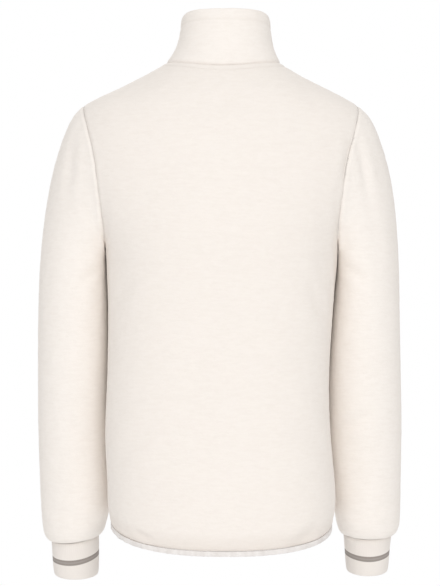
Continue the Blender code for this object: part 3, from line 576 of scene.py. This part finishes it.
# Soft troughs of the worn cloth: a place on it, degrees of lean from upright as seen from behind,
# half the length and half the width over which it fades, and its depth, in millimetres
creaseTable = [
    # x, y, z, lean, long, wide, deep
    (152.0, 52.0, -236.0, -34.0, 46.0, 9.0, 1.5),
    (-152.0, 52.0, -230.0, 30.0, 52.0, 9.0, 1.7),
    (133.0, 84.0, -318.0, -52.0, 34.0, 10.0, 1.2),
    (-136.0, 84.0, -330.0, 48.0, 38.0, 10.0, 1.4),
    (60.0, 112.0, -596.0, -76.0, 58.0, 16.0, 0.9),
    (-52.0, 114.0, -588.0, 80.0, 66.0, 16.0, 1.0),
    (118.0, 92.0, -520.0, -60.0, 46.0, 13.0, 1.0),
    (-118.0, 92.0, -504.0, 58.0, 50.0, 13.0, 1.1),
    (-4.0, 90.0, -64.0, 88.0, 60.0, 14.0, 0.7),
    (132.0, -88.0, -226.0, 32.0, 48.0, 9.0, 1.6),
    (-134.0, -88.0, -218.0, -36.0, 46.0, 9.0, 1.7),
    (70.0, -128.0, -612.0, 76.0, 54.0, 15.0, 1.0),
    (-64.0, -128.0, -606.0, -78.0, 58.0, 15.0, 1.1),
    (54.0, -132.0, -330.0, 20.0, 70.0, 20.0, 0.9),
    (-58.0, -132.0, -352.0, -16.0, 76.0, 20.0, 1.0),
    (211.0, 54.0, -146.0, -4.0, 36.0, 8.0, 1.7),
    (110.0, 108.0, -652.0, 80.0, 14.0, 5.0, 2.2),
    (-120.0, 100.0, -655.0, -70.0, 26.0, 9.0, 2.6),
    (-198.0, 60.0, -150.0, 13.0, 36.0, 7.5, 2.1),
    (-216.0, 52.0, -236.0, 14.0, 40.0, 10.0, 1.0),
    (182.0, 40.0, -300.0, -62.0, 24.0, 8.0, 1.5),
    (-184.0, 40.0, -292.0, 60.0, 26.0, 8.0, 1.6),
    (228.0, 18.0, -438.0, 82.0, 30.0, 11.0, 1.0),
    (-226.0, 18.0, -428.0, -80.0, 34.0, 11.0, 1.1),
    (188.0, -6.0, -520.0, 66.0, 26.0, 9.0, 1.6),
    (-190.0, -4.0, -500.0, -64.0, 28.0, 9.0, 1.7),
    (222.0, -22.0, -628.0, 84.0, 24.0, 8.0, 1.4),
    (190.0, -24.0, -640.0, 96.0, 20.0, 7.0, 1.2),
    (-228.0, -20.0, -622.0, -84.0, 26.0, 8.0, 1.4),
    (-194.0, -22.0, -634.0, -94.0, 20.0, 7.0, 1.3),
    (214.0, -108.0, -618.0, 80.0, 26.0, 9.0, 1.3),
    (-212.0, -108.0, -612.0, -82.0, 26.0, 9.0, 1.4),
    (222.0, -78.0, -356.0, 70.0, 28.0, 9.0, 1.5),
    (-224.0, -78.0, -364.0, -72.0, 30.0, 9.0, 1.6),
]


creaseShape = {
    "ridge": 0.38,          # height of the swell beside a trough, as a share of the depth
    "ridgeAway": 1.9,       # how far from the trough it lies, in widths
    "onPiece": 30.0,        # a crease farther than this from a piece isn't its own, in millimetres
}


def hump(distance, wide):
    # 1 at no distance, and fading out over a width in millimetres
    return np.exp(-((distance / (wide * mm)) ** 2))


def creaseDepths(surface):
    shape = creaseShape
    depths = np.zeros(len(surface.rest))
    tree = trees[surface.piece.name.replace("_cloth", "")]
    for x, y, z, lean, long, wide, deep in creaseTable:
        middle, out, index, far = tree.find_nearest(Vector((x, y, z)) * mm)
        if far > shape["onPiece"] * mm:
            continue
        line = Vector((math.sin(math.radians(lean)), 0, math.cos(math.radians(lean))))
        line = np.array((line - line.dot(out) * out).normalized())
        away = surface.rest - np.array(middle)
        run = away @ line
        off = np.linalg.norm(away - run[:, None] * line, axis=1)
        ridge = shape["ridge"] * hump(off - shape["ridgeAway"] * wide * mm, wide)
        depths += deep * mm * hump(run, long) * (hump(off, wide) - ridge)
    return depths


fleeceRelief = {
    "wave": 0.30,           # soft unevenness of the pile, in millimetres
    "waveSize": 11.0,
    "waveTall": 7.7,
    "row": 0.16,            # faint rows across
    "rowSize": 17.0,
    "rowTall": 4.6,
    "rowStart": (31, 7, 3),
}


def pileDepths(surface):
    # soft unevenness and faint, broken rows across the cloth
    relief = fleeceRelief
    waveSize = np.array([relief["waveSize"], relief["waveSize"], relief["waveTall"]])
    rowSize = np.array([relief["rowSize"], relief["rowSize"], relief["rowTall"]])
    rowStart = Vector(relief["rowStart"])
    depths = np.zeros(len(surface.rest))
    for index in np.nonzero(surface.outer)[0]:
        place = surface.rest[index] / mm
        wave = noise.noise(Vector(place / waveSize))
        rows = noise.noise(Vector(place / rowSize) + rowStart)
        depths[index] = mm * (relief["wave"] * wave + relief["row"] * rows)
    return depths


seamShapes = {
    # how deep and wide a seam's valley is, and how high the ridge beside it, by the other piece
    "collar": (0.5, 2.2, 0.2), "back": (1.0, 2.6, 0.1), "front_left": (1.0, 2.6, 0.1),
    "front_right": (1.0, 2.6, 0.1), "sleeve_left": (1.0, 2.8, 0.1), "sleeve_right": (1.0, 2.8, 0.1),
    "cuff_left": (1.5, 3.2, 0.4), "cuff_right": (1.5, 3.2, 0.4), "hem_binding": (0.5, 2.2, 0.4),
    "free": (0.9, 1.5, 0.1),
}
seamPartingAndShade = {
    # how dark the parted pile and the painted shade in the seam's hollow get at a seam, and how wide
    # the dark is, by the other piece; at the cuff seams it is painted shadow where the sleeve's end
    # curls over the cuff
    "collar": (0.20, 1.5), "back": (0.18, 1.9), "sleeve_left": (0.18, 1.9),
    "sleeve_right": (0.18, 1.9), "cuff_left": (0.72, 1.9), "cuff_right": (0.72, 1.9),
    "hem_binding": (0.13, 1.8), "free": (0.16, 1.2), "other": (0.24, 1.5),
}
seamShadows = {
    # the soft shade over the cloth that turns in at an edge, and how far up it reaches
    "hem_binding": (0.30, 24.0),
}
seamRidge = {"away": 5.2, "wide": 2.6, "onSleeve": 0.4}     # the ridge beside a seam


def seamDepths(surface):
    depths = np.zeros(len(surface.rest))
    isSleeve = surface.piece.name.startswith("sleeve")
    for other, distance in surface.away.items():
        deep, wide, ridge = seamShapes.get(other, (0, 1, 0))
        if isSleeve and other in ("back", "front_left", "front_right"):
            ridge = seamRidge["onSleeve"]
        valley = deep * hump(distance, wide)
        swell = ridge * hump(distance - seamRidge["away"] * mm, seamRidge["wide"])
        depths += surface.outer * mm * (valley - swell)
    return depths


# Sewing

topstitch = {
    "pitch": 3.3, "length": 2.5, "radius": 0.30,
    "lift": 0.05,           # of a stitch's middle above the cloth
    "grooveDeep": 0.75,     # of the line that the stitches pull into the pile
    "grooveWide": 1.6,
    "tone": 0.09,           # how dark that line is painted, as shade in its groove
    "toneWide": 1.3,
}


def makeStitchMesh():
    # one stitch: a slim capsule that lies along X
    bpy.ops.object.select_all(action="DESELECT")
    bpy.ops.mesh.primitive_uv_sphere_add(
        segments=6, ring_count=5, radius=1.0, rotation=(0, math.pi / 2, 0),
    )
    stitch = bpy.context.object
    thick = topstitch["radius"] * mm
    stitch.scale = (thick, thick, topstitch["length"] / 2 * mm)
    bpy.ops.object.transform_apply(location=True, rotation=True, scale=True)
    points = readAll(stitch.data.vertices, "co", 3)
    faces = [list(face.vertices) for face in stitch.data.polygons]
    bpy.data.objects.remove(stitch)
    return points, faces


nearCollarTop = 25.5 * mm       # a groove's distance is only measured up to here
stitchPoints, stitchFaces = makeStitchMesh()
sewing = {"points": [], "faces": []}


def contour(surface, other, offset, keep=None):
    # the points where the cloth lies at an offset from one of its seams
    distance = surface.away[other] - offset * mm
    first, second = surface.edges[:, 0], surface.edges[:, 1]
    crossing = (distance[first] * distance[second] < 0) & surface.outer[first] & surface.outer[second]
    first, second = first[crossing], second[crossing]
    share = (distance[first] / (distance[first] - distance[second]))[:, None]
    places = surface.points[first] * (1 - share) + surface.points[second] * share
    ways = surface.ways[first] * (1 - share) + surface.ways[second] * share
    if keep is not None:
        kept = keep(places)
        places, ways = places[kept], ways[kept]
    return places, ways


def runAlong(places):
    # the length from the first place to each
    return np.concatenate([[0], np.cumsum(np.linalg.norm(np.diff(places, axis=0), axis=1))])


def placeAt(spot, run, values):
    return np.array([np.interp(spot, run, values[:, axis]) for axis in range(3)])


def sewAlong(places, ways, key):
    # stitches along points that the key puts in order
    order = np.argsort(key(places))
    places, ways = places[order], ways[order]
    if len(places) < 12:
        return
    window = np.ones(5) / 5
    smoothed = np.stack([np.convolve(places[:, axis], window, "valid") for axis in range(3)], -1)
    ways = ways[2:-2]
    run = runAlong(smoothed)
    pitch = topstitch["pitch"] * mm
    half = topstitch["length"] / 2 * mm
    for start in np.arange(pitch / 2, run[-1] - pitch / 2, pitch):
        middle = placeAt(start, run, smoothed)
        out = placeAt(start, run, ways)
        along = placeAt(start + half, run, smoothed) - placeAt(start - half, run, smoothed)
        if np.linalg.norm(along) < half * 0.5:
            continue
        along /= np.linalg.norm(along)
        out = out - out.dot(along) * along
        out /= np.linalg.norm(out)
        side = np.cross(out, along)
        turned = stitchPoints @ np.array([along, side, out])
        base = len(sewing["points"]) * len(stitchPoints)
        sewing["points"].append(turned + middle + out * topstitch["lift"] * mm)
        sewing["faces"].extend([[index + base for index in face] for face in stitchFaces])


def grooveAt(surface, other, offset, keep=None):
    # the shallow line that a row of topstitching pulls into the pile
    distance = surface.away[other] - offset * mm
    depths = topstitch["grooveDeep"] * mm * hump(distance, topstitch["grooveWide"])
    depths = np.where(surface.outer & (surface.away[other] < nearCollarTop), depths, 0)
    if keep is not None:
        depths = np.where(keep(surface.rest), depths, 0)
    surface.push(depths)
    surface.lines.append(np.where(depths > 0, distance, 1.0))


def roundNeck(places):
    # the turn about the neck's middle, from the zip round
    return np.arctan2(places[:, 0] + 5 * mm, -places[:, 1] - 10 * mm)


def byHeight(places):
    return -places[:, 2]


clothPieces = {
    # name of the node: flat width and length of the cut, its area, and the topstitching:
    # the piece across the seam, the distance from it and how the stitches are put in order
    "back": {"flat": (0.530, 0.680), "area": 0.279, "stitch": [("collar", 8.4, roundNeck)]},
    "front_left": {"flat": (0.290, 0.650), "area": 0.142, "stitch": [
        ("collar", 8.4, roundNeck), ("free", 6.5, byHeight)]},
    "front_right": {"flat": (0.290, 0.650), "area": 0.142, "stitch": [
        ("collar", 8.4, roundNeck), ("free", 6.5, byHeight)]},
    "sleeve_left": {"flat": (0.440, 0.620), "area": 0.177, "stitch": []},
    "sleeve_right": {"flat": (0.440, 0.620), "area": 0.176, "stitch": []},
    "collar": {"flat": (0.450, 0.085), "area": 0.033, "stitch": [
        ("top", 15.0, roundNeck), ("free", 6.5, byHeight)]},
}


def zipFront(places):
    # true at the front, where a free edge is the one beside the zip
    return places[:, 1] < -30 * mm


def collarSeam(place):
    # true at the collar's lower edge, and not at its rounded top
    return place.z < 30 * mm


def belowTop(surface):
    # how far below the collar's top a point of its outer face lies
    turn = roundNeck(surface.rest) / math.radians(3)
    steps = np.round(turn).astype(int)
    keys = np.unique(steps)
    tops = [surface.rest[steps == key, 2].max() for key in keys]
    below = np.interp(turn, keys, tops) - surface.rest[:, 2]
    out = surface.ways[:, 0] * (surface.rest[:, 0] + 6 * mm) + surface.ways[:, 1] * surface.rest[:, 1]
    return np.where(out > 0, np.minimum(below, nearCollarTop), clothWall["seamReach"] * mm)


for clothName, facts in clothPieces.items():
    isCollar = clothName == "collar"
    wall = cleanWall(clothName, collarSeam if isCollar else everywhere)
    piece = smoothObject(clothName + "_cloth", wall, (fleece, fleeceBack, fleece), 2)
    refineOuter(piece)
    surface = Surface(piece)
    if isCollar:
        surface.away["top"] = belowTop(surface)
    print(clothName, "triangles", sum(len(face.vertices) - 2 for face in piece.data.polygons),
          "seams", {other: len(found) for other, found in surface.seams.items()})
    surface.push(creaseDepths(surface) + pileDepths(surface) + seamDepths(surface))
    keeps = {"free": zipFront}
    for other, offset, key in facts["stitch"]:
        grooveAt(surface, other, offset, keeps.get(other))
    for other, offset, key in facts["stitch"]:
        sewAlong(*contour(surface, other, offset, keeps.get(other)), key)
    surface.away.pop("top", None)
    surface.markSeams()
    surface.store()
    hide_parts(clothName)
    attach(piece, "jacket")
print("fleece panels, sleeves and collar made")


# Rib cuffs, the hem's elastic and the zip's tapes

cuffShape = {
    "wales": 96,
    "ribDeep": 0.07,
    "bow": 3.2,             # how much lower the rows lie at the cuff's sides
    "seamDeep": 0.90,
    "seamWide": 2.24,
    "reach": 70.0,
    "endRing": 12.0,        # the height of the rings whose middles give the cuff's line
    "flat": (0.212, 0.055),
}


def giveUv(surface, across, down, turn=None):
    # a UV map in metres along and down the cloth. across may come round once, by turn
    mesh = surface.piece.data
    corners, owners = cornersOf(mesh)
    along = across[corners]
    if turn:
        most = np.full(len(mesh.polygons), -1e9)
        np.maximum.at(most, owners, along)
        along = np.where(most[owners] - along > turn / 2, along + turn, along)
    layer = mesh.uv_layers.new(name="cloth")
    layer.data.foreach_set("uv", np.stack([along, down[corners]], -1).ravel())


def cuffSeam(place):
    # true at the cuff's upper edge, and not at its folded lower one
    return place.z > -690 * mm


def makeCuff(side):
    shape = cuffShape
    wall = cleanWall("cuff_" + side, cuffSeam)
    piece = smoothObject("cuff_" + side + "_cloth", wall, (knit, knit, knit), 2)
    refineOuter(piece)
    refineOuter(piece)
    surface = Surface(piece, reach=shape["reach"])
    heights = surface.rest[:, 2]
    ring = shape["endRing"] * mm
    bottom = surface.rest[heights < heights.min() + ring].mean(axis=0)
    top = surface.rest[heights > heights.max() - ring].mean(axis=0)
    share = (heights - bottom[2]) / (top[2] - bottom[2])
    middle = bottom + share[:, None] * (top - bottom)
    turn = np.arctan2(surface.rest[:, 0] - middle[:, 0], surface.rest[:, 1] - middle[:, 1])
    surface.push(-shape["ribDeep"] * mm * np.cos(turn * shape["wales"]) * surface.outer)
    seam = surface.away["sleeve_" + side]
    surface.push(surface.outer * shape["seamDeep"] * mm * hump(seam, shape["seamWide"]))
    surface.markSeams()
    surface.store()
    bow = shape["bow"] * mm * np.sin(turn) ** 2
    whole = shape["wales"] * knitLook["wale"] * mm
    giveUv(surface, turn / (2 * math.pi) * whole, seam + bow, whole)
    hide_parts("cuff_" + side)
    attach(piece, "jacket")


for side in ("left", "right"):
    makeCuff(side)
print("cuffs made")

bindingShape = {
    "flat": (0.940, 0.0102),
    "round": 0.93,          # its length round the hem, in metres
    "edgeCrease": 0.62,     # how sharp its folded edges stay
    "stitchBelow": 1.9,
    "reach": 14.0,
    # puckers: how many round the hem, how high and where they start
    "puckers": ((61, 0.10, 0.4), (97, 0.14, 1.9), (143, 0.08, 0.7)),
}


def makeBinding():
    shape = bindingShape
    wall = cleanWall("hem_binding", crease=shape["edgeCrease"])
    piece = smoothObject("hem_binding_cloth", wall, (elastic, elastic, elastic), 2)
    refineOuter(piece)
    surface = Surface(piece, reach=shape["reach"])
    turn = np.arctan2(surface.rest[:, 0], surface.rest[:, 1])
    seams = [distance for other, distance in surface.away.items() if other != "free"]
    down = np.min(seams, axis=0)
    ripple = np.zeros(len(turn))
    for count, high, start in shape["puckers"]:
        ripple += high * np.sin(turn * count + start)
    surface.push(-ripple * mm * surface.outer)
    surface.away["hem"] = down
    places, ways = contour(surface, "hem", shape["stitchBelow"])
    sewAlong(places, ways, lambda found: np.arctan2(found[:, 0], found[:, 1]) % (2 * math.pi))
    surface.markSeams()
    surface.store()
    giveUv(surface, turn / (2 * math.pi) * shape["round"], down)
    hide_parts("hem_binding")
    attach(piece, "jacket")


makeBinding()
print("hem binding made")


def makeTapePiece(side):
    wall = cleanWall("zip_tape_" + side)
    piece = smoothObject("zip_tape_" + side + "_cloth", wall, (tape, tape, tape), 2)
    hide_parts("zip_tape_" + side)
    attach(piece, "jacket")


for side in ("left", "right"):
    makeTapePiece(side)
print("zip tapes made")


# Zip teeth: one is modelled, and the others are copies of it

toothShape = {
    "pitch": 2.5, "tall": 1.25, "deep": 2.6,
    "reach": 3.3,           # its length across the chain
    "past": 0.55,           # how far it goes past the middle, between the other row's teeth
    "bevel": 0.18,
    "gripSize": (1, 1.2, 0.72),
}


def makeTooth():
    # a tooth that grips the tape at +X and meets the other row at X = 0. -Y is out, Z is up
    shape = toothShape
    bpy.ops.object.select_all(action="DESELECT")
    size = (shape["reach"] * mm, shape["deep"] * mm, shape["tall"] * mm)
    middle = (size[0] / 2 - shape["past"] * mm, 0, 0)
    bpy.ops.mesh.primitive_cube_add(size=1, location=middle, scale=size)
    tooth = bpy.context.object
    bpy.ops.object.transform_apply(location=True, rotation=True, scale=True)
    bpy.ops.object.mode_set(mode="EDIT")
    bpy.ops.mesh.select_all(action="DESELECT")
    bpy.ops.object.mode_set(mode="OBJECT")
    for face in tooth.data.polygons:
        face.select = face.normal.x > 0.9
    bpy.ops.object.mode_set(mode="EDIT")
    bpy.ops.mesh.select_mode(type="FACE")
    bpy.ops.transform.resize(value=shape["gripSize"])
    bpy.ops.mesh.select_all(action="SELECT")
    bpy.ops.mesh.bevel(offset=shape["bevel"] * mm, segments=1, affect="EDGES")
    bpy.ops.object.mode_set(mode="OBJECT")
    return tooth


def chainLine():
    # stations down the closed chain: places and the way into the cloth
    found = []
    for side in ("left", "right"):
        points = readAll(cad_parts["zip_teeth_" + side].data.vertices, "co", 3)
        found.append(np.unique(points.round(7), axis=0))
    points = np.concatenate(found)
    points = points[np.argsort(-points[:, 2])]
    breaks = np.nonzero(-np.diff(points[:, 2]) > 3 * mm)[0] + 1
    places, ways = [], []
    for group in np.split(points, breaks):
        middle = group.mean(axis=0)
        near = group[group[:, 1] < middle[1]]
        far = group[group[:, 1] >= middle[1]]
        way = far.mean(axis=0) - near.mean(axis=0)
        places.append(middle)
        ways.append(way / np.linalg.norm(way))
    return np.array(places), np.array(ways)


def makeTeeth():
    shape = toothShape
    tooth = makeTooth()
    places, ways = chainLine()
    run = runAlong(places)
    print("chain", round(run[-1], 4), "stations", len(places))
    for sign, side in ((1, "left"), (-1, "right")):
        start = shape["pitch"] * mm * (0.5 if sign > 0 else 1.0)
        row = bmesh.new()
        for spot in np.arange(start, run[-1] - mm, shape["pitch"] * mm):
            place = Vector(placeAt(spot, run, places))
            above, below = placeAt(spot - 2 * mm, run, places), placeAt(spot + 2 * mm, run, places)
            up = Vector(above - below).normalized()
            into = Vector(placeAt(spot, run, ways))
            into = (into - into.dot(up) * up).normalized()
            across = into.cross(up) * sign
            turn = Matrix((across, into, up)).transposed().to_4x4()
            copy = tooth.data.copy()
            copy.transform(Matrix.Translation(place) @ turn)
            row.from_mesh(copy)
            bpy.data.meshes.remove(copy)
        bmesh.ops.recalc_face_normals(row, faces=row.faces)
        mesh = bpy.data.meshes.new("zip_teeth_" + side + "_row")
        row.to_mesh(mesh)
        row.free()
        mesh.materials.append(toothMetal)
        piece = bpy.data.objects.new(mesh.name, mesh)
        bpy.context.scene.collection.objects.link(piece)
        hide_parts("zip_teeth_" + side)
        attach(piece, "jacket")
    bpy.data.objects.remove(tooth)


makeTeeth()
print("zip teeth made")


# Stitches

def finishSewing():
    mesh = bpy.data.meshes.new("topstitching")
    mesh.from_pydata(np.concatenate(sewing["points"]).tolist(), [], sewing["faces"])
    mesh.materials.append(thread)
    mesh.polygons.foreach_set("use_smooth", [True] * len(mesh.polygons))
    piece = bpy.data.objects.new("topstitching", mesh)
    bpy.context.scene.collection.objects.link(piece)
    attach(piece, "jacket")
    print("stitches", len(sewing["points"]))


finishSewing()


# The pieces that keep their solids' shape

def dress(nodeName, material):
    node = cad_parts[nodeName]
    node.data.materials.clear()
    node.data.materials.append(material)


for nodeName in ("zip_slider", "zip_pull", "zip_box"):
    dress(nodeName, nickel)


# Camera, light and floor

studio = {
    "cameraHeight": -0.3206, "cameraDistance": 2.6,
    "millimetresPerPixel": 1.40, "photoHeight": 586,    # at the middle of the jacket
    "floorHeight": -1.45, "floorRadius": 4.3, "floorSolidTo": 1.2,
    "floorLight": (0.95, 0.95, 0.95), "floorDeep": (0.93, 0.93, 0.93),
    "worldAbove": 0.735, "worldBelow": 0.52,
    "aim": (0, 0, -0.32), "lampSize": 3.2,
    "key": 60.0, "keyFrom": (-0.15, 3.4, 0.72),
    "fill": 60.0, "fillFrom": (0.45, -3.4, 0.85),
}


def addLight(name, place, power):
    lamp = bpy.data.lights.new(name, "AREA")
    lamp.shape = "SQUARE"
    lamp.size = studio["lampSize"]
    lamp.energy = power
    light = bpy.data.objects.new(name, lamp)
    bpy.context.scene.collection.objects.link(light)
    light.location = place
    way = Vector(studio["aim"]) - Vector(place)
    light.rotation_euler = way.to_track_quat("-Z", "Y").to_euler()


addLight("key behind the camera", studio["keyFrom"], studio["key"])
addLight("fill in front of the jacket", studio["fillFrom"], studio["fill"])


def makeWorld():
    # a white sky that is weaker below, and plain white where the camera sees it
    sky = Finish("studio", bpy.data.worlds.new("studio"))
    bpy.context.scene.world = sky.material
    height = sky.axes(sky.node("ShaderNodeTexCoord", output="Generated"))[2]
    level = sky.node("ShaderNodeMapRange", {}, {
        "Value": height, "From Min": -0.5, "From Max": 0.5,
        "To Min": studio["worldBelow"], "To Max": studio["worldAbove"],
    })
    white = (1, 1, 1, 1)
    lit = sky.node("ShaderNodeBackground", {}, {"Color": white, "Strength": level})
    seen = sky.node("ShaderNodeBackground", {}, {"Color": white})
    toCamera = sky.node("ShaderNodeLightPath", output="Is Camera Ray")
    either = sky.node("ShaderNodeMixShader", {}, {0: toCamera, 1: lit, 2: seen})
    sky.tree.nodes.remove(sky.tree.nodes["Background"])
    sky.feed(sky.tree.nodes["World Output"].inputs[0], either)


makeWorld()

bpy.ops.object.select_all(action="DESELECT")
bpy.ops.mesh.primitive_circle_add(
    vertices=96, radius=studio["floorRadius"], fill_type="NGON",
    location=(0, 0, studio["floorHeight"]),
)
floor = bpy.context.object
floor.name = "studio_floor"
bpy.ops.object.transform_apply(location=True, rotation=True, scale=True)
floorFinish = Finish("pale studio floor")
floorGrain = floorFinish.noise(floorFinish.place((60, 60, 60)), 1.0, 3.0)
floorAway = floorFinish.node("ShaderNodeVectorMath", {"operation": "LENGTH"}, {
    0: floorFinish.place((1000, 1000, 1e9))}, output="Value")
floorFinish.set(
    colour=floorFinish.mix(floorGrain, studio["floorDeep"], studio["floorLight"]),
    roughness=0.75 + floorGrain * 0.1, specular=0.2,
    alpha=floorFinish.spread(floorAway, studio["floorRadius"] - 0.1, studio["floorSolidTo"]),
)
floor.data.materials.append(floorFinish.material)

lens = bpy.data.cameras.new("photo camera")
camera = bpy.data.objects.new("photo camera", lens)
bpy.context.scene.collection.objects.link(camera)
camera.location = (0, studio["cameraDistance"], studio["cameraHeight"])
camera.rotation_euler = (math.pi / 2, 0, math.pi)
lens.sensor_width = 36.0        # along the image's long side
focalPixels = studio["cameraDistance"] / (studio["millimetresPerPixel"] * mm)
lens.lens = lens.sensor_width * focalPixels / studio["photoHeight"]
lens.clip_end = 60
bpy.context.scene.camera = camera
bpy.context.scene.view_settings.view_transform = "Standard"
print("studio ready")
